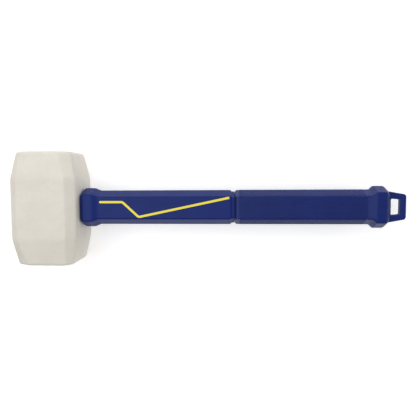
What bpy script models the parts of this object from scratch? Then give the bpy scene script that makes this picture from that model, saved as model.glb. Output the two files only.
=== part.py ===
"""Rubber mallet: a moulded white rubber head on a fibreglass-cored handle with a textured grip.

Metres, +Z up. The mallet lies on its side. The handle runs along X with the head at -X, the head's
strike faces look along -Y and +Y, and the head's lower side flat lies on Z = 0. The origin is under
the middle of the whole mallet.
"""

import math

import bmesh
import bpy
from mathutils import Matrix, Vector

NAME = "rubber_mallet"
GAP = 0.0003  # kept between pieces that touch

# Head. Width is along the handle, depth is across it, length is from strike face to strike face.
HEAD_WIDTH = 0.0582
HEAD_DEPTH = 0.0592
HEAD_LENGTH = 0.1008
HEAD_BAND = 0.0534  # length of the full-width middle band
HEAD_CORNER = 0.0077, 0.0077  # each corner as (across the handle's front, from front to back)
FACE_WIDTH = 0.0490
FACE_DEPTH = 0.0490
FACE_CORNER = 0.0110, 0.0062  # the strike end's corner on the handle side at +Y, and outside at -Y
FACE_OTHER_CORNER = 0.0058, 0.0062  # the strike end's other corner
RIM_RADIUS = 0.0026
HEAD_EDGE_RADIUS = 0.0009
EYE_LEAD_IN = 0.0012

# Lengths along the handle, in order from the head
COLLAR_LENGTH = 0.0107
COLLAR_SLOPE = 0.0054
NECK_LENGTH = 0.1189
GROOVE_WIDTH = 0.0026
SHOULDER = 0.0014  # each sloping side of the groove
GRIP_LENGTH = 0.1149
POMMEL_LENGTH = 0.0210
LOOP_LENGTH = 0.0157

# Sections across the handle. Height is along Y, depth is along Z.
TENON_HEIGHT, TENON_DEPTH = 0.0220, 0.0180
COLLAR_HEIGHT, COLLAR_DEPTH = 0.0354, 0.0290
NECK_HEIGHT, NECK_DEPTH = 0.0309, 0.0252
NECK_END_HEIGHT = 0.0313  # the grip starts flush with this
GRIP_END_HEIGHT = 0.0316
GRIP_RISE = 0.0005  # the grip's front and back stand this far above the neck's
GROOVE_DEPTH = 0.0014
GRIP_WALL = 0.0030
POMMEL_HEIGHT, POMMEL_DEPTH = 0.0380, 0.0300
CHAMFER_HEIGHT = 0.0056  # along Y, of the four long chamfers, which run back almost to the middle plane
SIDE_FLAT = 0.0040  # left between the front and back chamfers
TENON_CORNER = 0.0055, 0.0055
COLLAR_RIM_RADIUS = 0.0035
EDGE_RADIUS = 0.0008
TENON_RECESS = 0.0015  # the tenon stops this far inside the head's far side
BOND_THICKNESS = 0.0008
CORE_DIAMETER = 0.0120
CORE_SOCKET_END = 0.0080  # the core stops this far short of the spine's end
SPINE_SEAT = 0.0120  # length of the spine inside the pommel

# Pommel and hanging loop
POMMEL_FLARE = 0.0074  # the front and back faces flare over this length
POMMEL_SIDE_START = 0.0042  # the sides flare from here on
POMMEL_END_SLOPE = 0.0047
POMMEL_END_DEPTH = 0.0160
LOOP_THICKNESS = 0.0064
LOOP_ROOT_HEIGHT, LOOP_END_HEIGHT = 0.0288, 0.0225
LOOP_CORNER_RADIUS = 0.0022
LOOP_EDGE = 0.0007
HOLE_WIDTH = 0.0084
HOLE_END_BAR = 0.0051
HOLE_ROOT_HEIGHT, HOLE_END_HEIGHT = 0.0148, 0.0134
HOLE_CORNER_RADIUS = 0.0010

# Yellow line, as distances from the collar's slope and from the handle's axis
LINE_WIDTH = 0.0018
LINE_DEPTH = 0.0008
LINE_PROUD = 0.0001
LINE_START = 0.0008
LINE_FLAT = 0.0217
LINE_DROP = 0.0145
LINE_HIGH, LINE_LOW, LINE_END = 0.0053, -0.0081, 0.0090
LINE_BEND_RADIUS = 0.0030
LINE_END_MARGIN = 0.0010

# Places along the handle
LENGTH = (HEAD_WIDTH + GAP + COLLAR_LENGTH + COLLAR_SLOPE + NECK_LENGTH + 2 * SHOULDER + GROOVE_WIDTH
          + GRIP_LENGTH + GAP + POMMEL_LENGTH + LOOP_LENGTH)
HEAD_X = (HEAD_WIDTH - LENGTH) / 2
HEAD_FACE_X = HEAD_X + HEAD_WIDTH / 2
COLLAR_X = HEAD_FACE_X + GAP
SLOPE_X = COLLAR_X + COLLAR_LENGTH
NECK_X = SLOPE_X + COLLAR_SLOPE
NECK_END_X = NECK_X + NECK_LENGTH
GRIP_X = NECK_END_X + SHOULDER + GROOVE_WIDTH
GRIP_END_X = GRIP_X + SHOULDER + GRIP_LENGTH
POMMEL_X = GRIP_END_X + GAP
POMMEL_END_X = POMMEL_X + POMMEL_LENGTH
LOOP_END_X = POMMEL_END_X + LOOP_LENGTH
TENON_X = HEAD_X - HEAD_WIDTH / 2 + TENON_RECESS
SPINE_END_X = POMMEL_X + SPINE_SEAT
AXIS_Z = HEAD_DEPTH / 2
GRIP_DEPTH = NECK_DEPTH + 2 * GRIP_RISE


def clear_scene():
    for obj in list(bpy.data.objects):
        bpy.data.objects.remove(obj, do_unlink=True)


def collection(name, hidden=False):
    made = bpy.data.collections.new(name)
    bpy.context.scene.collection.children.link(made)
    made.hide_render = hidden
    return made


def material(name, colour, roughness, metallic=0.0):
    made = bpy.data.materials.new(name)
    made.use_nodes = True
    shader = made.node_tree.nodes["Principled BSDF"]
    shader.inputs["Base Color"].default_value = (*colour, 1.0)
    shader.inputs["Roughness"].default_value = roughness
    shader.inputs["Metallic"].default_value = metallic
    return made


def object_from(name, bm, where):
    """A mesh object from bm, its normals pointing out, raised so that the handle's axis is at AXIS_Z."""
    bmesh.ops.recalc_face_normals(bm, faces=bm.faces)
    bmesh.ops.translate(bm, verts=bm.verts, vec=(0, 0, AXIS_Z))
    mesh = bpy.data.meshes.new(name)
    bm.to_mesh(mesh)
    bm.free()
    made = bpy.data.objects.new(name, mesh)
    where.objects.link(made)
    return made


def finish_piece(obj, finish, sharp_degrees=28):
    obj.data.materials.append(finish)
    obj.data.shade_smooth()
    obj.data.set_sharp_from_angle(angle=math.radians(sharp_degrees))


def hide_cutter(obj):
    obj.hide_render = True
    obj.display_type = "WIRE"


def boolean(obj, other, operation="DIFFERENCE"):
    modifier = obj.modifiers.new(other.name, "BOOLEAN")
    modifier.operation = operation
    modifier.solver = "EXACT"
    modifier.object = other


def weighted_bevel(obj, radius, segments):
    """Rounds each edge to its own bevel weight's share of radius."""
    modifier = obj.modifiers.new("Rounded edges", "BEVEL")
    modifier.limit_method = "WEIGHT"
    modifier.width = radius
    modifier.segments = segments


# Sections: a rectangle with its corners cut off, as (height, depth, corners at +Y, corners at -Y).
# A corner is its two lengths, along Y and along Z.
def section(height, depth, corner=None, other_corner=None):
    corner = corner or (CHAMFER_HEIGHT, (depth - SIDE_FLAT) / 2)
    return height, depth, corner, other_corner or corner


def grown_corner(corner, amount):
    """The corner's two lengths once the three sides that meet there have moved out by amount."""
    lean = math.atan2(*corner)
    along_y = corner[0] + amount * (1 - math.tan(math.pi / 4 - lean / 2))
    along_z = corner[1] + amount * (1 - math.tan(lean / 2))
    return along_y, along_z


def grown(base, amount):
    """The section with all its sides moved out by amount."""
    height, depth, corner, other_corner = base
    return (height + 2 * amount, depth + 2 * amount, grown_corner(corner, amount),
            grown_corner(other_corner, amount))


def corners_of(base):
    height, depth, corner, other_corner = base
    y, z = height / 2, depth / 2
    upper = [(y, z - corner[1]), (y - corner[0], z), (other_corner[0] - y, z), (-y, z - other_corner[1])]
    return upper + [(a, -b) for a, b in reversed(upper)]


TENON = section(TENON_HEIGHT, TENON_DEPTH, TENON_CORNER)
SPINE = grown(section(NECK_END_HEIGHT, GRIP_DEPTH), -GRIP_WALL)


def lofted(name, stations, where, edge_radius=0.0):
    """A solid through sections across the handle. A station is (x, section, radius of the edges round it)."""
    bm = bmesh.new()
    weight = bm.edges.layers.float.new("bevel_weight_edge")
    most = max([edge_radius] + [radius for _, _, radius in stations])
    rings = [[bm.verts.new((x, y, z)) for y, z in corners_of(base)] for x, base, _ in stations]
    for first, second in zip(rings, rings[1:]):
        for i, vert in enumerate(first):
            bm.faces.new((first[i - 1], vert, second[i], second[i - 1]))
    bm.faces.new(rings[0])
    bm.faces.new(rings[-1])
    if most:
        for edge in bm.edges:
            edge[weight] = edge_radius / most
        for ring, (_, _, radius) in zip(rings, stations):
            for i, vert in enumerate(ring):
                bm.edges.get((ring[i - 1], vert))[weight] = radius / most
    made = object_from(name, bm, where)
    if most:
        weighted_bevel(made, most, 3)
    return made


def filleted(points, radius, steps=4, closed=True):
    """The outline through points with each corner rounded to radius. An open line keeps its two ends."""
    rounded = []
    count = len(points)
    for i, point in enumerate(points):
        if not closed and i in (0, count - 1):
            rounded.append(point)
            continue
        before = (points[i - 1] - point).normalized()
        after = (points[(i + 1) % count] - point).normalized()
        half = before.angle(after) / 2
        centre = point + (before + after).normalized() * (radius / math.sin(half))
        start = point + before * (radius / math.tan(half)) - centre
        end = point + after * (radius / math.tan(half)) - centre
        turn = start.angle_signed(end)
        for step in range(steps + 1):
            rounded.append(centre + Matrix.Rotation(-turn * step / steps, 2) @ start)
    return rounded


def head(parts, cutters):
    """The moulded block: a middle band and two tapers, lofted between the strike faces, with the eye through it."""
    band = section(HEAD_WIDTH, HEAD_DEPTH, HEAD_CORNER)
    stations = [
        (-HEAD_LENGTH / 2, section(FACE_WIDTH, FACE_DEPTH, FACE_CORNER, FACE_OTHER_CORNER), RIM_RADIUS),
        (-HEAD_BAND / 2, band, 0.0),
        (HEAD_BAND / 2, band, 0.0),
        (HEAD_LENGTH / 2, section(FACE_WIDTH, FACE_DEPTH, FACE_OTHER_CORNER, FACE_CORNER), RIM_RADIUS),
    ]
    made = lofted("head", stations, parts, HEAD_EDGE_RADIUS)
    made.data.transform(Matrix.Translation((HEAD_X, 0, 0)) @ Matrix.Rotation(math.pi / 2, 4, "Z"))

    eye = grown(TENON, BOND_THICKNESS + 2 * GAP)
    mouth = grown(eye, 2 * EYE_LEAD_IN)
    far, near = HEAD_X - HEAD_WIDTH / 2, HEAD_FACE_X
    stations = [(far - EYE_LEAD_IN, mouth, 0.0), (far + EYE_LEAD_IN, eye, 0.0), (near + EYE_LEAD_IN, eye, 0.0)]
    cutter = lofted("eye_cutter", stations, cutters)
    hide_cutter(cutter)
    boolean(made, cutter)
    finish_piece(made, material("white rubber", (0.80, 0.76, 0.68), 0.65))
    return made


def eye_adhesive(parts, cutters):
    """The epoxy sleeve that bonds the tenon into the head's eye."""
    outside = grown(TENON, BOND_THICKNESS + GAP)
    inside = grown(TENON, GAP)
    start = TENON_X + BOND_THICKNESS
    made = lofted("eye_adhesive", [(start, outside, 0.0), (HEAD_FACE_X, outside, 0.0)], parts)
    cutter = lofted("adhesive_cutter", [(start - GRIP_WALL, inside, 0.0), (COLLAR_X + GRIP_WALL, inside, 0.0)],
                    cutters)
    hide_cutter(cutter)
    boolean(made, cutter)
    finish_piece(made, material("epoxy", (0.62, 0.50, 0.30), 0.35))
    return made


def line_path():
    """The yellow line's centre line along the neck, as (x, y)."""
    start = NECK_X + LINE_START
    points = [
        Vector((start, LINE_HIGH)),
        Vector((start + LINE_FLAT, LINE_HIGH)),
        Vector((start + LINE_FLAT + LINE_DROP, LINE_LOW)),
        Vector((NECK_END_X - LINE_END_MARGIN, LINE_END)),
    ]
    return filleted(points, LINE_BEND_RADIUS, closed=False)


def line_solid(name, width, low, high, where):
    """A band of this width along the line's path, from low to high above the handle's axis."""
    path = line_path()
    bm = bmesh.new()
    rails = []
    for i, point in enumerate(path):
        before = point - path[max(i - 1, 0)]
        after = path[min(i + 1, len(path) - 1)] - point
        way = (before.normalized() + after.normalized()).normalized()
        across = Vector((-way.y, way.x)) * width / 2
        rails.append([bm.verts.new((*(point + across * side), low)) for side in (-1, 1)])
    for (a, b), (c, d) in zip(rails, rails[1:]):
        bm.faces.new((a, c, d, b))
    raised = bmesh.ops.extrude_face_region(bm, geom=list(bm.faces))["geom"]
    verts = [item for item in raised if isinstance(item, bmesh.types.BMVert)]
    bmesh.ops.translate(bm, verts=verts, vec=(0, 0, high - low))
    return object_from(name, bm, where)


def turned_over(obj, name, where):
    """A copy of obj on the other face of the handle, mirrored in the handle's middle plane."""
    mesh = obj.data.copy()
    mesh.name = name
    mesh.transform(Matrix.Translation((0, 0, 2 * AXIS_Z)) @ Matrix.Scale(-1, 4, (0, 0, 1)))
    mesh.flip_normals()
    made = bpy.data.objects.new(name, mesh)
    where.objects.link(made)
    return made


def yellow_lines(parts):
    face = NECK_DEPTH / 2
    low = face - LINE_DEPTH + GAP
    front = line_solid("front_line", LINE_WIDTH, low, face + LINE_PROUD, parts)
    finish_piece(front, material("yellow inlay", (0.93, 0.80, 0.05), 0.45))
    turned_over(front, "back_line", parts)


def rod(name, start, end, diameter, where, sides=32):
    """A round bar along the handle's axis."""
    bm = bmesh.new()
    place = Matrix.Translation(((start + end) / 2, 0, 0)) @ Matrix.Rotation(math.pi / 2, 4, "Y")
    bmesh.ops.create_cone(bm, cap_ends=True, segments=sides, radius1=diameter / 2, radius2=diameter / 2,
                          depth=end - start, matrix=place)
    return object_from(name, bm, where)


def fibreglass_core(parts):
    made = rod("fibreglass_core", TENON_X, SPINE_END_X - CORE_SOCKET_END, CORE_DIAMETER, parts)
    finish_piece(made, material("fibreglass", (0.72, 0.68, 0.45), 0.35))
    return made


def handle_body(parts, cutters):
    """The smooth blue moulding: tenon, collar, neck, groove floor, and the spine under the grip."""
    collar = section(COLLAR_HEIGHT, COLLAR_DEPTH)
    neck = section(NECK_HEIGHT, NECK_DEPTH)
    neck_end = section(NECK_END_HEIGHT, NECK_DEPTH)
    floor = grown(neck_end, -GROOVE_DEPTH)
    stations = [
        (TENON_X, TENON, EDGE_RADIUS),
        (COLLAR_X, TENON, 0.0),
        (COLLAR_X, collar, COLLAR_RIM_RADIUS),
        (SLOPE_X, collar, EDGE_RADIUS),
        (NECK_X, neck, 0.0),
        (NECK_END_X, neck_end, 0.0),
        (NECK_END_X + SHOULDER, floor, 0.0),
        (GRIP_X - GAP, floor, 0.0),
        (GRIP_X - GAP, SPINE, 0.0),
        (SPINE_END_X - GAP, SPINE, EDGE_RADIUS),
    ]
    made = lofted("handle_body", stations, parts, EDGE_RADIUS)
    bore = rod("core_bore_cutter", TENON_X - GRIP_WALL, SPINE_END_X - CORE_SOCKET_END + GAP,
               CORE_DIAMETER + 2 * GAP, cutters)
    hide_cutter(bore)
    boolean(made, bore)
    face = NECK_DEPTH / 2
    groove = line_solid("front_line_cutter", LINE_WIDTH + 2 * GAP, face - LINE_DEPTH, face + GRIP_WALL, cutters)
    hide_cutter(groove)
    hide_cutter(turned_over(groove, "back_line_cutter", cutters))
    boolean(made, groove)
    boolean(made, bpy.data.objects["back_line_cutter"])
    finish_piece(made, material("smooth blue plastic", (0.02, 0.04, 0.22), 0.35))
    return made


def spine_cutter(name, start, end, where):
    made = lofted(name, [(start, grown(SPINE, GAP), 0.0), (end, grown(SPINE, GAP), 0.0)], where)
    hide_cutter(made)
    return made


def grip_sleeve(parts, cutters):
    full = section(NECK_END_HEIGHT, GRIP_DEPTH)
    end = section(GRIP_END_HEIGHT, GRIP_DEPTH)
    lip = grown(full, -GROOVE_DEPTH)
    stations = [(GRIP_X, lip, 0.0), (GRIP_X + SHOULDER, full, 0.0), (GRIP_END_X, end, 0.0)]
    made = lofted("grip_sleeve", stations, parts, EDGE_RADIUS)
    boolean(made, spine_cutter("sleeve_cutter", GRIP_X - GRIP_WALL, GRIP_END_X + GRIP_WALL, cutters))
    finish_piece(made, material("textured blue grip", (0.03, 0.05, 0.18), 0.6))
    return made


def trapezium(start, end, start_height, end_height, radius):
    """The outline of a flat shape that narrows from start to end along the handle, its corners rounded."""
    points = [
        Vector((start, -start_height / 2)),
        Vector((end, -end_height / 2)),
        Vector((end, end_height / 2)),
        Vector((start, start_height / 2)),
    ]
    return filleted(points, radius)


def hanging_loop_plate(where):
    """The flat plate with the hanging hole, its edges rounded, before it joins the pommel."""
    curve = bpy.data.curves.new("loop_outline", "CURVE")
    curve.dimensions = "2D"
    curve.fill_mode = "BOTH"
    curve.extrude = LOOP_THICKNESS / 2 - LOOP_EDGE
    curve.bevel_depth = LOOP_EDGE
    curve.bevel_resolution = 1
    curve.offset = -LOOP_EDGE
    hole_end = LOOP_END_X - HOLE_END_BAR
    outlines = [
        trapezium(POMMEL_END_X - POMMEL_END_SLOPE / 2, LOOP_END_X, LOOP_ROOT_HEIGHT, LOOP_END_HEIGHT,
                  LOOP_CORNER_RADIUS),
        trapezium(hole_end - HOLE_WIDTH, hole_end, HOLE_ROOT_HEIGHT, HOLE_END_HEIGHT, HOLE_CORNER_RADIUS),
    ]
    for outline in outlines:
        spline = curve.splines.new("POLY")
        spline.points.add(len(outline) - 1)
        for point, place in zip(spline.points, outline):
            point.co = (*place, 0, 1)
        spline.use_cyclic_u = True
    flat = bpy.data.objects.new("loop_outline", curve)
    bpy.context.scene.collection.objects.link(flat)
    bpy.context.view_layer.update()
    mesh = bpy.data.meshes.new_from_object(flat.evaluated_get(bpy.context.evaluated_depsgraph_get()))
    bpy.data.objects.remove(flat, do_unlink=True)
    bm = bmesh.new()
    bm.from_mesh(mesh)
    bpy.data.meshes.remove(mesh)
    bmesh.ops.remove_doubles(bm, verts=bm.verts, dist=1e-6)
    made = object_from("loop_plate", bm, where)
    hide_cutter(made)
    return made


def pommel(parts, cutters):
    """The flared end piece, which seats on the spine, with its hanging loop."""
    start = section(GRIP_END_HEIGHT, GRIP_DEPTH)
    full = section(POMMEL_HEIGHT, POMMEL_DEPTH)
    middle_depth = GRIP_DEPTH + (POMMEL_DEPTH - GRIP_DEPTH) * POMMEL_SIDE_START / POMMEL_FLARE
    middle = section(GRIP_END_HEIGHT, middle_depth)
    end = section(LOOP_ROOT_HEIGHT, POMMEL_END_DEPTH)
    stations = [
        (POMMEL_X, start, 0.0),
        (POMMEL_X + POMMEL_SIDE_START, middle, 0.0),
        (POMMEL_X + POMMEL_FLARE, full, EDGE_RADIUS),
        (POMMEL_END_X - POMMEL_END_SLOPE, full, EDGE_RADIUS),
        (POMMEL_END_X, end, EDGE_RADIUS),
    ]
    made = lofted("pommel", stations, parts, EDGE_RADIUS)
    boolean(made, hanging_loop_plate(cutters), "UNION")
    boolean(made, spine_cutter("pommel_socket_cutter", POMMEL_X - GRIP_WALL, SPINE_END_X, cutters))
    finish_piece(made, material("pommel blue plastic", (0.02, 0.05, 0.26), 0.4))
    return made


def main():
    clear_scene()
    parts = collection(NAME)
    cutters = collection(NAME + "_cutters", hidden=True)
    head(parts, cutters)
    eye_adhesive(parts, cutters)
    fibreglass_core(parts)
    handle_body(parts, cutters)
    yellow_lines(parts)
    grip_sleeve(parts, cutters)
    pommel(parts, cutters)


main()
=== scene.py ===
"""Rubber mallet: a cast white rubber head on a fibreglass-cored blue handle, on a plain studio floor."""

import math

import bmesh
import bpy
from mathutils import Matrix, Vector


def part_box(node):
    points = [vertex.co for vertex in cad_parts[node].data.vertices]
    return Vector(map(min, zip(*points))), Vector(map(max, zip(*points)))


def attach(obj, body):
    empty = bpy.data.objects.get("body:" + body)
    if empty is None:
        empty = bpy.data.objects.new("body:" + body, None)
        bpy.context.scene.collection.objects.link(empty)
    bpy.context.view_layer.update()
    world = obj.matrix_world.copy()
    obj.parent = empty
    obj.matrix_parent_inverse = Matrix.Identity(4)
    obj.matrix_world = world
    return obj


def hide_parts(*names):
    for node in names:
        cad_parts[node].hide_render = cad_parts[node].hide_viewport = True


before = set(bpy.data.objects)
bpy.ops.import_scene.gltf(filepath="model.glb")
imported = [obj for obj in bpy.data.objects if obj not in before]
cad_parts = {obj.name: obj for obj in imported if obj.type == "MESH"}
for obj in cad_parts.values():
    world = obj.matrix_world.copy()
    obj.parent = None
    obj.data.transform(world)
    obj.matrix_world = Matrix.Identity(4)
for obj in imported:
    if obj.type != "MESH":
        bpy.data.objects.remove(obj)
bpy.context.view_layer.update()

# Camera: above the mallet as it lies on its side, a little towards the pommel and towards the
# upper strike face, so that the head shows the side that the handle comes out of.
CAMERA_PLACE = Vector((0.0125, 0.0261, 0.4261))
CAMERA_AIM = Vector((-0.0022, -0.0009, 0.0296))
CAMERA_UPWARDS = Vector((0.0036, 1, 0))
SENSOR_MM = 36.0
LENS_MM = 37.55


def turned_towards(place, aim, upwards=Vector((0, 1, 0))):
    """The turn that points a camera or a lamp at aim, its top towards upwards."""
    back = (place - aim).normalized()
    right = upwards.cross(back).normalized()
    return Matrix((right, back.cross(right), back)).transposed().to_euler()


camera_lens = bpy.data.cameras.new("studio_camera")
camera_lens.sensor_width = SENSOR_MM
camera_lens.lens = LENS_MM
camera = bpy.data.objects.new("studio_camera", camera_lens)
camera.location = CAMERA_PLACE
camera.rotation_euler = turned_towards(CAMERA_PLACE, CAMERA_AIM, CAMERA_UPWARDS)
bpy.context.scene.collection.objects.link(camera)
bpy.context.scene.camera = camera
bpy.context.scene.view_settings.view_transform = "Standard"


# Studio: a white floor that glows a little, so that the shadows on it stay faint. Three soft panels
# light it: one overhead towards the head, one beyond the upper strike face, one past the pommel.
FLOOR_SIZE = 6.0
FLOOR_WHITE = (0.93, 0.93, 0.93, 1.0)
FLOOR_GREY = (0.92, 0.92, 0.92, 1.0)
FLOOR_CLOUD_SIZE = 0.02
FLOOR_GLOW = 0.38
LIGHT_WHITE = (1.0, 1.0, 1.0, 1.0)
SKY_STRENGTH = 0.16
PANELS = {  # each panel's place, its width and height, and its power in watts
    "overhead_panel": ((-0.42, 0.12, 1.10), (1.2, 1.3), 9.8),
    "upper_panel": ((-0.10, 1.10, 0.60), (1.6, 0.6), 4.4),
    "right_panel": ((1.00, 0.00, 0.75), (0.5, 1.2), 4.4),
}


class Shade:
    """A socket of a finish's nodes. Sums on it add Math nodes, and node() makes any other node."""

    def __init__(self, tree, socket=None):
        self.tree = tree
        self.socket = socket

    def node(self, kind, inputs, output=0, **settings):
        """A node of this kind, with its settings and then the values or links of its sockets."""
        made = self.tree.nodes.new(kind)
        for name, value in settings.items():
            setattr(made, name, value)
        for name, value in inputs.items():
            if isinstance(value, Shade):
                self.tree.links.new(value.socket, made.inputs[name])
            else:
                made.inputs[name].default_value = value
        return Shade(self.tree, made.outputs[output])

    def sum(self, operation, first, second):
        """A Math node on two numbers or Shades."""
        return self.node("ShaderNodeMath", {0: first, 1: second}, operation=operation)

    def __add__(self, other):
        return self.sum("ADD", self, other)

    def __radd__(self, other):
        return self.sum("ADD", other, self)

    def __mul__(self, other):
        return self.sum("MULTIPLY", self, other)

    def __rmul__(self, other):
        return self.sum("MULTIPLY", other, self)

    def noise(self, places, size, detail=2.0, roughness=0.5):
        """Smooth noise from 0 to 1 whose features are about size metres across."""
        inputs = {"Vector": places, "Scale": 1 / size, "Detail": detail, "Roughness": roughness}
        return self.node("ShaderNodeTexNoise", inputs)

    def between(self, value, low, high):
        """value as it goes from low to high, turned into a number from 0 to 1."""
        inputs = {"Value": value, "From Min": low, "From Max": high}
        return self.node("ShaderNodeMapRange", inputs, interpolation_type="SMOOTHSTEP")

    def blend(self, share, first, second):
        """The colour that goes from first to second with share."""
        inputs = {0: share, 6: first, 7: second}
        return self.node("ShaderNodeMix", inputs, output=2, data_type="RGBA")


def new_finish(name, **constants):
    """A material with these constants, its shader node, a Shade to build on, and places in metres."""
    finish = bpy.data.materials.new(name)
    finish.use_nodes = True
    shader = finish.node_tree.nodes["Principled BSDF"]
    for socket, value in constants.items():
        shader.inputs[socket.replace("_", " ")].default_value = value
    shade = Shade(finish.node_tree)
    places = shade.node("ShaderNodeTexCoord", {}, output="Object")
    return finish, shader, shade, places


def join(shader, **links):
    """Feeds the shader's sockets with these Shades."""
    for socket, value in links.items():
        value.tree.links.new(value.socket, shader.inputs[socket.replace("_", " ")])


def relief(shade, height, depth, under=None):
    """A normal from a height of 0 to 1 that stands for depth metres, on top of another normal."""
    inputs = {"Height": height, "Distance": depth}
    if under is not None:
        inputs["Normal"] = under
    return shade.node("ShaderNodeBump", inputs)


floor_finish, shader, shade, places = new_finish(
    "floor_white", Roughness=0.9, Specular_IOR_Level=0.1, Emission_Color=LIGHT_WHITE,
    Emission_Strength=FLOOR_GLOW)
join(shader, Base_Color=shade.blend(shade.noise(places, FLOOR_CLOUD_SIZE), FLOOR_WHITE, FLOOR_GREY))

bm = bmesh.new()
bmesh.ops.create_grid(bm, x_segments=1, y_segments=1, size=FLOOR_SIZE / 2)
floor_mesh = bpy.data.meshes.new("studio_floor")
bm.to_mesh(floor_mesh)
bm.free()
floor = bpy.data.objects.new("studio_floor", floor_mesh)
floor.data.materials.append(floor_finish)
bpy.context.scene.collection.objects.link(floor)

sky = bpy.data.worlds.new("studio_sky")
sky.use_nodes = True
sky.node_tree.nodes["Background"].inputs["Color"].default_value = LIGHT_WHITE
sky.node_tree.nodes["Background"].inputs["Strength"].default_value = SKY_STRENGTH
bpy.context.scene.world = sky

for name, (place, (width, height), watts) in PANELS.items():
    panel = bpy.data.lights.new(name, "AREA")
    panel.shape = "RECTANGLE"
    panel.size, panel.size_y = width, height
    panel.energy = watts
    lamp = bpy.data.objects.new(name, panel)
    lamp.location = place
    lamp.rotation_euler = turned_towards(Vector(place), CAMERA_AIM)
    bpy.context.scene.collection.objects.link(lamp)


# Head: one block of white rubber cast in a two-part mould, a middle band with a taper to each
# strike face and the four long corners cut off. The handle's eye goes right through it.
HEAD_BAND = 0.0534
BAND_CUT = (0.0077, 0.0077)
FACE_CUT = (0.0110, 0.0062)  # beside the handle on the +y face, and away from it on the -y face
FACE_OTHER_CUT = (0.0058, 0.0062)
FACE_SIZE = (0.0490, 0.0490)
HEAD_RIM = 0.0028
HEAD_CORNER_ROUND = 0.0016
HEAD_BEND_ROUND = 0.0022
EYE_SIZE = (0.0248, 0.0208)
EYE_CUT = (0.0063, 0.0063)
EYE_ROUND = 0.0014
PARTING_WIDTH = 0.0005
PARTING_HEIGHT = 0.0001
SHARP_ABOVE = math.radians(50)
SAME_PLACE = 1e-6  # corners nearer to each other than this are one
RUBBER_WHITE = (0.800, 0.765, 0.688, 1)
RUBBER_CREAM = (0.772, 0.732, 0.648, 1)
RUBBER_STAIN = (0.71, 0.66, 0.57, 1)
CLOUD_SIZE = 0.018
CLOUD_DEPTH = 0.0006
MOTTLE_SIZE = 0.0022
MOTTLE_DEPTH = 0.00012
GRAIN_SIZE = 0.00035
GRAIN_DEPTH = 0.00006

head_low, head_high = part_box("head")
head_middle = (head_low + head_high) / 2
head_size = head_high - head_low
AXIS_Z = head_middle.z


def cut_oblong(height, depth, cut, other_cut=None):
    """The eight corners, as (y, z), of an oblong across the handle with its own corners cut off.

    A cut is its lengths along y and z, and other_cut is for the corners at -y."""
    other_cut = other_cut or cut
    y, z = height / 2, depth / 2
    upper = [(y, z - cut[1]), (y - cut[0], z), (other_cut[0] - y, z), (-y, z - other_cut[1])]
    return upper + [(a, -b) for a, b in reversed(upper)]


def corners_in(geometry):
    return [item for item in geometry if isinstance(item, bmesh.types.BMVert)]


def drawn_on(bm, loop, places):
    """Draws a loop of corners, or one edge, on to new places, and returns the new loop."""
    edges = list(dict.fromkeys(bm.edges.get((loop[i - 1], corner)) for i, corner in enumerate(loop)))
    drawn = bmesh.ops.extrude_edge_only(bm, edges=edges)["geom"]
    fresh = set(corners_in(drawn))
    moved = []
    for corner, place in zip(loop, places):
        ends = [edge.other_vert(corner) for edge in corner.link_edges]
        copy = next(end for end in ends if end in fresh)
        copy.co = place
        moved.append(copy)
    return moved


def bar(stations, edge_round):
    """A closed bar along X, drawn through stations of (x, corners, rounding round that station).

    Each edge is given its rounding as a share of the largest, which is returned too."""
    bm = bmesh.new()
    share = bm.edges.layers.float.new("bevel_weight_edge")
    largest = max([edge_round] + [rounding for _, _, rounding in stations])
    loops = [[bm.verts.new((stations[0][0], y, z)) for y, z in stations[0][1]]]
    bm.faces.new(loops[0])
    for x, corners, _ in stations[1:]:
        loops.append(drawn_on(bm, loops[-1], [(x, y, z) for y, z in corners]))
    bm.faces.new(loops[-1])
    for edge in bm.edges:
        edge[share] = edge_round / largest if largest else 0.0
    for loop, (_, _, rounding) in zip(loops, stations):
        for i, corner in enumerate(loop):
            bm.edges.get((loop[i - 1], corner))[share] = rounding / largest if largest else 0.0
    return bm, largest


def piece_from(name, bm, lift=AXIS_Z):
    """An object from bm, raised by lift, with its doubles merged and its normals facing out."""
    bmesh.ops.remove_doubles(bm, verts=bm.verts, dist=SAME_PLACE)
    bmesh.ops.recalc_face_normals(bm, faces=bm.faces)
    bmesh.ops.translate(bm, verts=bm.verts, vec=(0, 0, lift))
    mesh = bpy.data.meshes.new(name)
    bm.to_mesh(mesh)
    bm.free()
    piece = bpy.data.objects.new(name, mesh)
    bpy.context.scene.collection.objects.link(piece)
    return piece


def round_edges(piece, largest, segments=5):
    """Rounds each edge by its own share of the largest rounding."""
    rounding = piece.modifiers.new("Rounded edges", "BEVEL")
    rounding.limit_method = "WEIGHT"
    rounding.width = largest
    rounding.segments = segments


def work_with(piece, tool, operation):
    """Adds a tool to a piece or takes it away."""
    cut = piece.modifiers.new(tool.name, "BOOLEAN")
    cut.operation = operation
    cut.solver = "EXACT"
    cut.object = tool


def carried_out(piece, tools=()):
    """Carries out the piece's modifiers, so that its mesh is final, and puts the tools away."""
    bpy.context.view_layer.update()
    graph = bpy.context.evaluated_depsgraph_get()
    mesh = bpy.data.meshes.new_from_object(piece.evaluated_get(graph))
    mesh.name = piece.name
    piece.modifiers.clear()
    piece.data = mesh
    for tool in tools:
        bpy.data.objects.remove(tool, do_unlink=True)


def handed_over(piece, finish, node, sharp_above=SHARP_ABOVE):
    """Gives a piece its finish and smooth shading, and stands it for its CAD node."""
    piece.data.materials.clear()
    piece.data.materials.append(finish)
    piece.data.shade_smooth()
    piece.data.set_sharp_from_angle(angle=sharp_above)
    even = piece.modifiers.new("Even shading", "WEIGHTED_NORMAL")
    even.keep_sharp = True
    carried_out(piece)
    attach(piece, "root")
    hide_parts(node)


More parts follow.
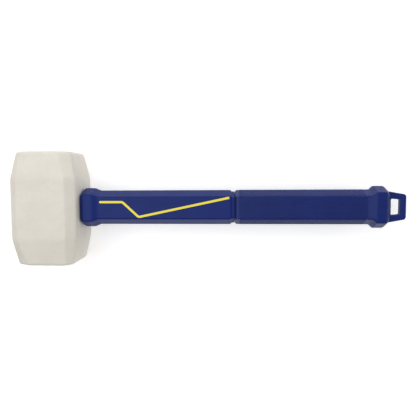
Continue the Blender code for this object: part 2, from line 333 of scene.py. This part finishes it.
band_corners = cut_oblong(head_size.x, head_size.z, BAND_CUT)
head_stations = [
    (-head_size.y / 2, cut_oblong(*FACE_SIZE, FACE_CUT, FACE_OTHER_CUT), HEAD_RIM),
    (-HEAD_BAND / 2, band_corners, HEAD_BEND_ROUND),
    (HEAD_BAND / 2, band_corners, HEAD_BEND_ROUND),
    (head_size.y / 2, cut_oblong(*FACE_SIZE, FACE_OTHER_CUT, FACE_CUT), HEAD_RIM),
]
bm, largest = bar(head_stations, HEAD_CORNER_ROUND)
bmesh.ops.rotate(bm, verts=bm.verts, matrix=Matrix.Rotation(math.pi / 2, 3, "Z"))
bmesh.ops.translate(bm, verts=bm.verts, vec=(head_middle.x, 0, 0))
rubber_head = piece_from("rubber_head", bm)
round_edges(rubber_head, largest)
carried_out(rubber_head)

bm = bmesh.new()
bm.from_mesh(rubber_head.data)
for side in (-1, 1):
    bmesh.ops.bisect_plane(bm, geom=bm.verts[:] + bm.edges[:] + bm.faces[:], dist=SAME_PLACE,
                           plane_co=(0, 0, AXIS_Z + side * PARTING_WIDTH / 2), plane_no=(0, 0, 1))
strip = [face for face in bm.faces if abs(face.calc_center_median().z - AXIS_Z) < PARTING_WIDTH / 4]
bmesh.ops.inset_region(bm, faces=strip, thickness=PARTING_WIDTH / 4, depth=PARTING_HEIGHT,
                       use_even_offset=True)
bm.to_mesh(rubber_head.data)
bm.free()

eye_corners = cut_oblong(*EYE_SIZE, EYE_CUT)
mouth_corners = cut_oblong(*(side + 4 * EYE_ROUND for side in EYE_SIZE),
                           [side + EYE_ROUND for side in EYE_CUT])
eye_stations = [
    (head_low.x - EYE_ROUND, mouth_corners, 0.0),
    (head_low.x + EYE_ROUND, eye_corners, EYE_ROUND),
    (head_high.x + EYE_ROUND, eye_corners, 0.0),
]
bm, largest = bar(eye_stations, 0.0)
eye_tool = piece_from("eye_tool", bm)
round_edges(eye_tool, largest)
work_with(rubber_head, eye_tool, "DIFFERENCE")
carried_out(rubber_head, [eye_tool])

rubber, shader, shade, places = new_finish("white_rubber", Specular_IOR_Level=0.25)
clouds = shade.noise(places, CLOUD_SIZE, detail=3.0)
mottle = shade.noise(places, MOTTLE_SIZE, detail=4.0, roughness=0.6)
grain = shade.noise(places, GRAIN_SIZE, detail=3.0, roughness=0.7)
cream = shade.blend(shade.between(clouds, 0.35, 0.65), RUBBER_WHITE, RUBBER_CREAM)
cream = shade.blend(shade.between(mottle, 0.45, 0.75) * 0.35, cream, RUBBER_STAIN)
uneven = relief(shade, mottle, MOTTLE_DEPTH, relief(shade, clouds, CLOUD_DEPTH))
join(shader, Base_Color=cream, Roughness=0.62 + mottle * 0.16,
     Normal=relief(shade, grain, GRAIN_DEPTH, uneven))
handed_over(rubber_head, rubber, "head")


# Bond and core: epoxy fills the eye round the tenon and is dished at its open end. The core is a
# pultruded fibreglass rod that runs the length of the handle, its sawn end flush in the tenon.
BOND_WALL = 0.0011
BOND_DISH = 0.0006
BOND_AMBER = (0.56, 0.43, 0.24, 1)
BOND_PALE = (0.68, 0.57, 0.37, 1)
SWIRL_SIZE = 0.003
BUBBLE_SIZE = 0.0006
BOND_RELIEF = 0.0002
CORE_CHAMFER = 0.0004
CORE_SIDES = 64
GLASS_GREEN = (0.46, 0.42, 0.24, 1)
GLASS_PALE = (0.80, 0.78, 0.62, 1)
GLASS_RESIN = (0.62, 0.58, 0.36, 1)
STRAND_SIZE = 0.00025
STRAND_DEPTH = 0.00008
STRAND_STRETCH = 50
ROVING_SIZE = 0.0014

bond_low, bond_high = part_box("eye_adhesive")
bond_size = bond_high - bond_low
bond_corners = cut_oblong(bond_size.y, bond_size.z, EYE_CUT)
bore_corners = cut_oblong(bond_size.y - 2 * BOND_WALL, bond_size.z - 2 * BOND_WALL,
                          [side - BOND_WALL / 2 for side in EYE_CUT])
bm, largest = bar([(bond_low.x, bond_corners, BOND_DISH), (bond_high.x, bond_corners, 0.0)], BOND_DISH)
bond = piece_from("eye_bond", bm)
round_edges(bond, largest, segments=3)
bore_ends = (bond_low.x - BOND_WALL, bond_high.x + BOND_WALL)
bm, _ = bar([(x, bore_corners, 0.0) for x in bore_ends], 0.0)
bore_tool = piece_from("bore_tool", bm)
work_with(bond, bore_tool, "DIFFERENCE")
carried_out(bond, [bore_tool])

epoxy, shader, shade, places = new_finish("epoxy")
swirl = shade.noise(places, SWIRL_SIZE, detail=3.0)
bubbles = shade.noise(places, BUBBLE_SIZE)
amber = shade.blend(shade.between(swirl, 0.3, 0.7), BOND_AMBER, BOND_PALE)
join(shader, Base_Color=amber, Roughness=0.22 + bubbles * 0.2,
     Normal=relief(shade, swirl + bubbles * 0.4, BOND_RELIEF))
handed_over(bond, epoxy, "eye_adhesive")

core_low, core_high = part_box("fibreglass_core")
core_radius = (core_high.y - core_low.y) / 2


def rod(radius, start_x, end_x, chamfer=0.0):
    """A round rod along X whose two rims may be chamfered."""
    bm = bmesh.new()
    bmesh.ops.create_cone(bm, cap_ends=True, segments=CORE_SIDES, radius1=radius, radius2=radius,
                          depth=end_x - start_x)
    rims = [edge for edge in bm.edges if abs(edge.verts[0].co.z - edge.verts[1].co.z) < chamfer]
    bmesh.ops.bevel(bm, geom=rims, offset=chamfer, segments=2, profile=0.5, affect="EDGES", material=-1)
    bmesh.ops.rotate(bm, verts=bm.verts, matrix=Matrix.Rotation(math.pi / 2, 3, "Y"))
    bmesh.ops.translate(bm, verts=bm.verts, vec=((start_x + end_x) / 2, 0, 0))
    return bm


core = piece_from("core_rod", rod(core_radius, core_low.x, core_high.x, CORE_CHAMFER))

fibreglass, shader, shade, places = new_finish("fibreglass")
along = shade.node("ShaderNodeMapping", {"Vector": places, "Scale": (1 / STRAND_STRETCH, 1.0, 1.0)})
strands = shade.noise(along, STRAND_SIZE, detail=3.0, roughness=0.7)
rovings = shade.noise(along, ROVING_SIZE)
glass = shade.blend(shade.between(strands, 0.35, 0.7), GLASS_GREEN, GLASS_PALE)
glass = shade.blend(shade.between(rovings, 0.4, 0.7) * 0.5, glass, GLASS_RESIN)
join(shader, Base_Color=glass, Roughness=0.3 + strands * 0.3, Normal=relief(shade, strands, STRAND_DEPTH))
handed_over(core, fibreglass, "fibreglass_core")


# Handle body: one smooth blue moulding over the core. It is the tenon in the eye, the collar
# against the head, the long neck, the groove in front of the grip and the spine that the grip is
# moulded on.
GAP = 0.0003
COLLAR_SIZE = (0.0354, 0.0290)
NECK_SIZE = (0.0309, 0.0252)
NECK_END_SIZE = (0.0313, 0.0252)
TENON_SIZE = (0.0220, 0.0180)
TENON_CUT = (0.0055, 0.0055)
CHAMFER_HEIGHT = 0.0056
SIDE_FLAT = 0.0040
COLLAR_LENGTH = 0.0107
COLLAR_SLOPE = 0.0054
COLLAR_RIM = 0.0038
NECK_LENGTH = 0.1189
GROOVE_DEPTH = 0.0014
SHOULDER = 0.0014
GRIP_WALL = 0.0030
BODY_ROUND = 0.0011
NECK_BLUES = ((0.0040, 0.0165, 0.140, 1), (0.0055, 0.0200, 0.160, 1))
TONE_SIZE = 0.02
TONE_DEPTH = 0.0003
FLOW_SIZE = 0.0022
FLOW_STRETCH = 0.12

body_low, body_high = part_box("handle_body")
grip_low, grip_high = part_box("grip_sleeve")
pommel_low, pommel_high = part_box("pommel")
collar_x = head_high.x + GAP
slope_x = collar_x + COLLAR_LENGTH
neck_x = slope_x + COLLAR_SLOPE
neck_end_x = neck_x + NECK_LENGTH


def chamfered(size, amount=0.0):
    """The corners of a handle section with four long chamfers, its sides all moved out by amount."""
    height, depth = size
    cut = (CHAMFER_HEIGHT, (depth - SIDE_FLAT) / 2)
    lean = math.atan2(*cut)
    moved_cut = (cut[0] + amount * (1 - math.tan(math.pi / 4 - lean / 2)),
                 cut[1] + amount * (1 - math.tan(lean / 2)))
    return cut_oblong(height + 2 * amount, depth + 2 * amount, moved_cut)


grip_start_size = (NECK_END_SIZE[0], grip_high.z - grip_low.z)
grip_end_size = (grip_high.y - grip_low.y, grip_high.z - grip_low.z)
groove_corners = chamfered(NECK_END_SIZE, -GROOVE_DEPTH)
spine_corners = chamfered(grip_start_size, -GRIP_WALL)
tenon_corners = cut_oblong(*TENON_SIZE, TENON_CUT)
collar_corners = chamfered(COLLAR_SIZE)
body_stations = [
    (body_low.x, tenon_corners, BODY_ROUND / 2),
    (collar_x, tenon_corners, 0.0),
    (collar_x, collar_corners, COLLAR_RIM),
    (slope_x, collar_corners, BODY_ROUND),
    (neck_x, chamfered(NECK_SIZE), BODY_ROUND),
    (neck_end_x, chamfered(NECK_END_SIZE), BODY_ROUND / 2),
    (neck_end_x + SHOULDER, groove_corners, BODY_ROUND / 3),
    (grip_low.x - GAP, groove_corners, 0.0),
    (grip_low.x - GAP, spine_corners, 0.0),
    (body_high.x, spine_corners, BODY_ROUND / 2),
]
bm, largest = bar(body_stations, BODY_ROUND)
handle_body = piece_from("handle_moulding", bm)
round_edges(handle_body, largest)
core_tool = piece_from("core_tool", rod(core_radius + GAP, core_low.x - GAP, core_high.x + GAP))
work_with(handle_body, core_tool, "DIFFERENCE")
carried_out(handle_body, [core_tool])


def blue_plastic(name, blues, roughness, spark_size, spark_depth, reflection):
    """Moulded blue plastic that goes slowly between two blues, with flow marks and a sparked texture."""
    finish, shader, shade, places = new_finish(name, Specular_IOR_Level=reflection)
    tone = shade.noise(places, TONE_SIZE)
    stretched = shade.node("ShaderNodeMapping", {"Vector": places, "Scale": (FLOW_STRETCH, 1.0, 1.0)})
    flow = shade.noise(stretched, FLOW_SIZE, detail=3.0)
    sparked = shade.noise(places, spark_size, detail=3.0, roughness=0.65)
    blue = shade.blend(shade.between(tone * 0.6 + flow * 0.4, 0.35, 0.65), *blues)
    join(shader, Base_Color=blue, Roughness=roughness + flow * 0.10 + sparked * 0.08,
         Normal=relief(shade, sparked, spark_depth, relief(shade, tone, TONE_DEPTH)))
    return finish


smooth_blue = blue_plastic("smooth_blue", NECK_BLUES, roughness=0.34, spark_size=0.0002,
                           spark_depth=0.00002, reflection=0.17)
handed_over(handle_body, smooth_blue, "handle_body")


# Lines: a thin yellow line is moulded into the neck's front and back. It runs level from the
# collar, drops, and climbs to the groove, with soft bends and a round start.
LINE_WIDTH = 0.0020
LINE_SINK = 0.0004
LINE_PROUD = 0.0001
LINE_START = 0.0016
LINE_FLAT = 0.0209
LINE_DROP = 0.0145
LINE_HEIGHTS = (0.0053, 0.0053, -0.0081, 0.0090)
LINE_END_MARGIN = 0.0010
BEND_RADIUS = 0.0030
BEND_STEPS = 6
LINE_START_ROUND = 0.00096
LINE_SHARP_ABOVE = math.radians(30)
LINE_YELLOW = (0.93, 0.80, 0.035, 1)
LINE_GOLD = (0.88, 0.73, 0.025, 1)
INK_SIZE = 0.0012
SPECK_SIZE = 0.0002
SPECK_DEPTH = 0.00003

line_start_x = neck_x + LINE_START
line_bend_x = line_start_x + LINE_FLAT
line_xs = (line_start_x, line_bend_x, line_bend_x + LINE_DROP, neck_end_x - LINE_END_MARGIN)
line_points = [Vector(point) for point in zip(line_xs, LINE_HEIGHTS)]
line_top = NECK_SIZE[1] / 2 + LINE_PROUD
line_bottom = NECK_SIZE[1] / 2 - LINE_SINK


def bent(points):
    """The points of a line once each bend in it is drawn as a short curve."""
    path = [points[0]]
    for before, corner, after in zip(points, points[1:], points[2:]):
        into = (corner - before).normalized()
        out = (after - corner).normalized()
        reach = BEND_RADIUS * math.tan(into.angle(out) / 2)
        for step in range(BEND_STEPS + 1):
            share = step / BEND_STEPS
            first_leg = (corner - into * reach).lerp(corner, share)
            path.append(first_leg.lerp(corner.lerp(corner + out * reach, share), share))
    return path + [points[-1]]


def line_underside():
    """The line's flat underside, drawn edge by edge along its path."""
    bm = bmesh.new()
    path = bent(line_points)
    for i, point in enumerate(path):
        before = (point - path[max(i - 1, 0)]).normalized()
        after = (path[min(i + 1, len(path) - 1)] - point).normalized()
        way = (before + after).normalized()
        half = LINE_WIDTH / 2 / max(abs(way.dot(before)), abs(way.dot(after)))
        across = Vector((-way.y, way.x)) * half
        crossing = [(*(point + across * side), line_bottom) for side in (-1, 1)]
        if i:
            edge = drawn_on(bm, edge, crossing)
        else:
            edge = [bm.verts.new(place) for place in crossing]
            bm.edges.new(edge)
    return bm


def line_piece(name, face):
    """The line on the front (face 1) or, mirrored, on the back (face -1) of the neck."""
    bm = line_underside()
    top = bmesh.ops.extrude_face_region(bm, geom=bm.faces[:])["geom"]
    bmesh.ops.translate(bm, verts=corners_in(top), vec=(0, 0, line_top - line_bottom))
    bm.normal_update()
    upright = [edge for edge in bm.edges if abs(edge.verts[0].co.z - edge.verts[1].co.z) > LINE_SINK / 2]
    start = [edge for edge in upright if edge.verts[0].co.x < line_start_x + LINE_WIDTH / 2]
    bmesh.ops.bevel(bm, geom=start, offset=LINE_START_ROUND, segments=6, profile=0.5, affect="EDGES",
                    material=-1)
    bmesh.ops.scale(bm, verts=bm.verts, vec=(1, 1, face))
    return piece_from(name, bm)


yellow, shader, shade, places = new_finish("yellow_line")
ink = shade.noise(places, INK_SIZE, detail=3.0)
specks = shade.noise(places, SPECK_SIZE)
gold = shade.blend(shade.between(ink, 0.3, 0.7), LINE_YELLOW, LINE_GOLD)
join(shader, Base_Color=gold, Roughness=0.36 + ink * 0.14, Normal=relief(shade, specks, SPECK_DEPTH))
for name, face, node in (("front_yellow_line", 1, "front_line"), ("back_yellow_line", -1, "back_line")):
    handed_over(line_piece(name, face), yellow, node, sharp_above=LINE_SHARP_ABOVE)


# Grip: a sleeve of softer blue plastic moulded over the spine. It has a plain border at each end
# and is covered all round with small raised diamonds, longer along the handle than across it.
DIAMOND_COLUMNS = 25
SIDE_ROWS = (6, 9, 6, 2, 6, 9, 6, 2)  # rows on each of the eight sides, from the upper front chamfer on
DIAMOND_START = 0.0042
DIAMOND_STOP = 0.0012
DIAMOND_SINK = 0.0002
DIAMOND_SLOPE = 0.0003
DIAMOND_RISE = 0.0003
CORNER_PULL = 0.0002  # the long edges are drawn in by this, so that the diamonds bend round them
GRIP_END_ROUND = 0.0005
GRIP_BLUES = ((0.0035, 0.0150, 0.130, 1), (0.0045, 0.0180, 0.150, 1))


def divided(corners, counts):
    """Points round a section, with each side from corner to corner in its own number of even steps."""
    points = []
    for i, count in enumerate(counts):
        first = Vector(corners[i])
        second = Vector(corners[(i + 1) % len(corners)])
        points += [first.lerp(second, step / count) for step in range(count)]
    return points


def sleeve_ring(x, amount):
    """The sleeve's section at x, moved out by amount, as corners in space for each row of diamonds."""
    share = (x - grip_low.x) / (grip_high.x - grip_low.x)
    size = [start + (end - start) * share for start, end in zip(grip_start_size, grip_end_size)]
    points = divided(chamfered(size, amount), SIDE_ROWS)
    corner_rows = [sum(SIDE_ROWS[:i]) for i in range(len(SIDE_ROWS))]
    for row in corner_rows:
        points[row] = points[row] * (1 - CORNER_PULL / points[row].length)
    return [Vector((x, *point)) for point in points]


rows = sum(SIDE_ROWS)
diamond_start_x = grip_low.x + DIAMOND_START
diamond_stop_x = grip_high.x - DIAMOND_STOP
bm = bmesh.new()
bmesh.ops.create_grid(bm, x_segments=DIAMOND_COLUMNS, y_segments=rows, size=1)
rings = {}
for column in range(DIAMOND_COLUMNS + 1):
    x = diamond_start_x + (diamond_stop_x - diamond_start_x) * column / DIAMOND_COLUMNS
    rings[column] = sleeve_ring(x, -DIAMOND_SINK)
for vert in bm.verts:
    column = round((vert.co.x + 1) / 2 * DIAMOND_COLUMNS)
    row = round((vert.co.y + 1) / 2 * rows) % rows
    vert.co = rings[column][row]
bmesh.ops.remove_doubles(bm, verts=bm.verts, dist=SAME_PLACE)
bmesh.ops.recalc_face_normals(bm, faces=bm.faces)
lattice = [edge for edge in bm.edges if len(edge.link_faces) == 2]
bmesh.ops.poke(bm, faces=bm.faces, center_mode="MEAN")
bmesh.ops.dissolve_edges(bm, edges=lattice, use_verts=False)
bmesh.ops.inset_individual(bm, faces=bm.faces, thickness=DIAMOND_SLOPE, depth=DIAMOND_RISE,
                           use_even_offset=True)


def boundary_loop(bm, ring):
    """The corners of the open edge nearest to the ring, in the order of the ring's points."""
    loose = [vert for vert in bm.verts if vert.is_boundary]
    return [min(loose, key=lambda vert: (vert.co - point).length) for point in ring]


grip_end_x = pommel_low.x - GAP / 10
bore_points = divided(chamfered(grip_start_size, GAP - GRIP_WALL), SIDE_ROWS)
bore_rings = []
for column, step, stations in (
    (0, -1, [(diamond_start_x, 0.0), (grip_low.x + SHOULDER + GRIP_END_ROUND, 0.0),
             (grip_low.x + SHOULDER, -GRIP_END_ROUND / 3), (grip_low.x, -GROOVE_DEPTH)]),
    (DIAMOND_COLUMNS, 1, [(diamond_stop_x, 0.0), (grip_end_x, 0.0)]),
):
    loop = boundary_loop(bm, rings[column])
    for i, (x, amount) in enumerate(stations):
        ring_x = x if i else x + step * DIAMOND_SINK / 2
        loop = drawn_on(bm, loop, sleeve_ring(ring_x, amount))
    bore_rings.append(drawn_on(bm, loop, [Vector((stations[-1][0], *point)) for point in bore_points]))
bore_edges = [bm.edges.get((loop[i - 1], corner)) for loop in bore_rings
              for i, corner in enumerate(loop)]
bmesh.ops.bridge_loops(bm, edges=bore_edges)
grip = piece_from("grip_cover", bm)
textured_blue = blue_plastic("textured_blue", GRIP_BLUES, roughness=0.33, spark_size=0.00018,
                             spark_depth=0.00002, reflection=0.30)
handed_over(grip, textured_blue, "grip_sleeve")


# Pommel: a flared end cap of the same blue plastic, pushed and bonded on to the spine. A flat
# tapered loop with an oblong hole stands out of its end for hanging the mallet up.
POMMEL_SIZE = (0.0380, 0.0300)
POMMEL_LENGTH = 0.0210
FLARE_LENGTH = 0.0074
SIDE_FLARE_START = 0.0042
POMMEL_END_SLOPE = 0.0047
POMMEL_END_DEPTH = 0.0160
POMMEL_ROUND = 0.0013
LOOP_THICKNESS = 0.0064
LOOP_HEIGHTS = (0.0288, 0.0225)
LOOP_CORNER = 0.0022
LOOP_EDGE = 0.0008
HOLE_WIDTH = 0.0084
HOLE_END_BAR = 0.0051
HOLE_HEIGHTS = (0.0148, 0.0134)
HOLE_CORNER = 0.0010
SPINE_SEAT = 0.0120
POMMEL_BLUES = ((0.0028, 0.0150, 0.130, 1), (0.0040, 0.0180, 0.150, 1))

pommel_end_x = pommel_low.x + POMMEL_LENGTH
early_flare = (POMMEL_SIZE[1] - grip_end_size[1]) * SIDE_FLARE_START / FLARE_LENGTH
early_size = (grip_end_size[0], grip_end_size[1] + early_flare)
pommel_stations = [
    (pommel_low.x, chamfered(grip_end_size), 0.0),
    (pommel_low.x + SIDE_FLARE_START, chamfered(early_size), POMMEL_ROUND),
    (pommel_low.x + FLARE_LENGTH, chamfered(POMMEL_SIZE), POMMEL_ROUND / 2),
    (pommel_end_x - POMMEL_END_SLOPE, chamfered(POMMEL_SIZE), POMMEL_ROUND),
    (pommel_end_x, chamfered((LOOP_HEIGHTS[0], POMMEL_END_DEPTH)), POMMEL_ROUND / 2),
]
bm, largest = bar(pommel_stations, POMMEL_ROUND)
pommel = piece_from("pommel_cap", bm)
round_edges(pommel, largest)

loop_x = (pommel_end_x - POMMEL_END_SLOPE / 2, pommel_high.x)
hole_x = (pommel_high.x - HOLE_END_BAR - HOLE_WIDTH, pommel_high.x - HOLE_END_BAR)


def four_corners(xs, heights):
    """The corners of a flat shape that narrows from its first height to its second."""
    return [Vector((x, side * height / 2, -LOOP_THICKNESS / 2))
            for x, height, sides in zip(xs, heights, ((-1, 1), (1, -1))) for side in sides]


bm = bmesh.new()
plate = bm.faces.new([bm.verts.new(corner) for corner in four_corners(loop_x, LOOP_HEIGHTS)])
bmesh.ops.inset_region(bm, faces=[plate], thickness=LOOP_EDGE, use_boundary=True)
for vert, corner in zip(plate.verts, four_corners(hole_x, HOLE_HEIGHTS)):
    vert.co = corner
bmesh.ops.delete(bm, geom=[plate], context="FACES_ONLY")
top = bmesh.ops.extrude_face_region(bm, geom=bm.faces[:])["geom"]
bmesh.ops.translate(bm, verts=corners_in(top), vec=(0, 0, LOOP_THICKNESS))
bmesh.ops.recalc_face_normals(bm, faces=bm.faces)
upright = [edge for edge in bm.edges if abs(edge.verts[0].co.z - edge.verts[1].co.z) > LOOP_EDGE]
outer = [edge for edge in upright if edge.verts[0].co.x > loop_x[1] - LOOP_EDGE]
hole = [edge for edge in upright if hole_x[0] - LOOP_EDGE < edge.verts[0].co.x < hole_x[1] + LOOP_EDGE]
bmesh.ops.bevel(bm, geom=outer, offset=LOOP_CORNER, segments=6, profile=0.5, affect="EDGES", material=-1)
bmesh.ops.bevel(bm, geom=hole, offset=HOLE_CORNER, segments=5, profile=0.5, affect="EDGES", material=-1)
flat_edges = [edge for edge in bm.edges
              if abs(abs(edge.verts[0].co.z + edge.verts[1].co.z) - LOOP_THICKNESS) < SAME_PLACE]
rims = [edge for edge in flat_edges if edge.calc_face_angle(0.0) > SHARP_ABOVE]
bmesh.ops.bevel(bm, geom=rims, offset=LOOP_EDGE, segments=4, profile=0.5, affect="EDGES", material=-1)
loop_plate = piece_from("loop_plate", bm)
work_with(pommel, loop_plate, "UNION")

socket_corners = chamfered(grip_start_size, GAP - GRIP_WALL)
socket_ends = (pommel_low.x - GRIP_WALL, pommel_low.x + SPINE_SEAT)
bm, _ = bar([(x, socket_corners, 0.0) for x in socket_ends], 0.0)
socket_tool = piece_from("socket_tool", bm)
work_with(pommel, socket_tool, "DIFFERENCE")
carried_out(pommel, [loop_plate, socket_tool])
pommel_blue = blue_plastic("pommel_blue", POMMEL_BLUES, roughness=0.32, spark_size=0.0002,
                           spark_depth=0.00002, reflection=0.22)
handed_over(pommel, pommel_blue, "pommel")
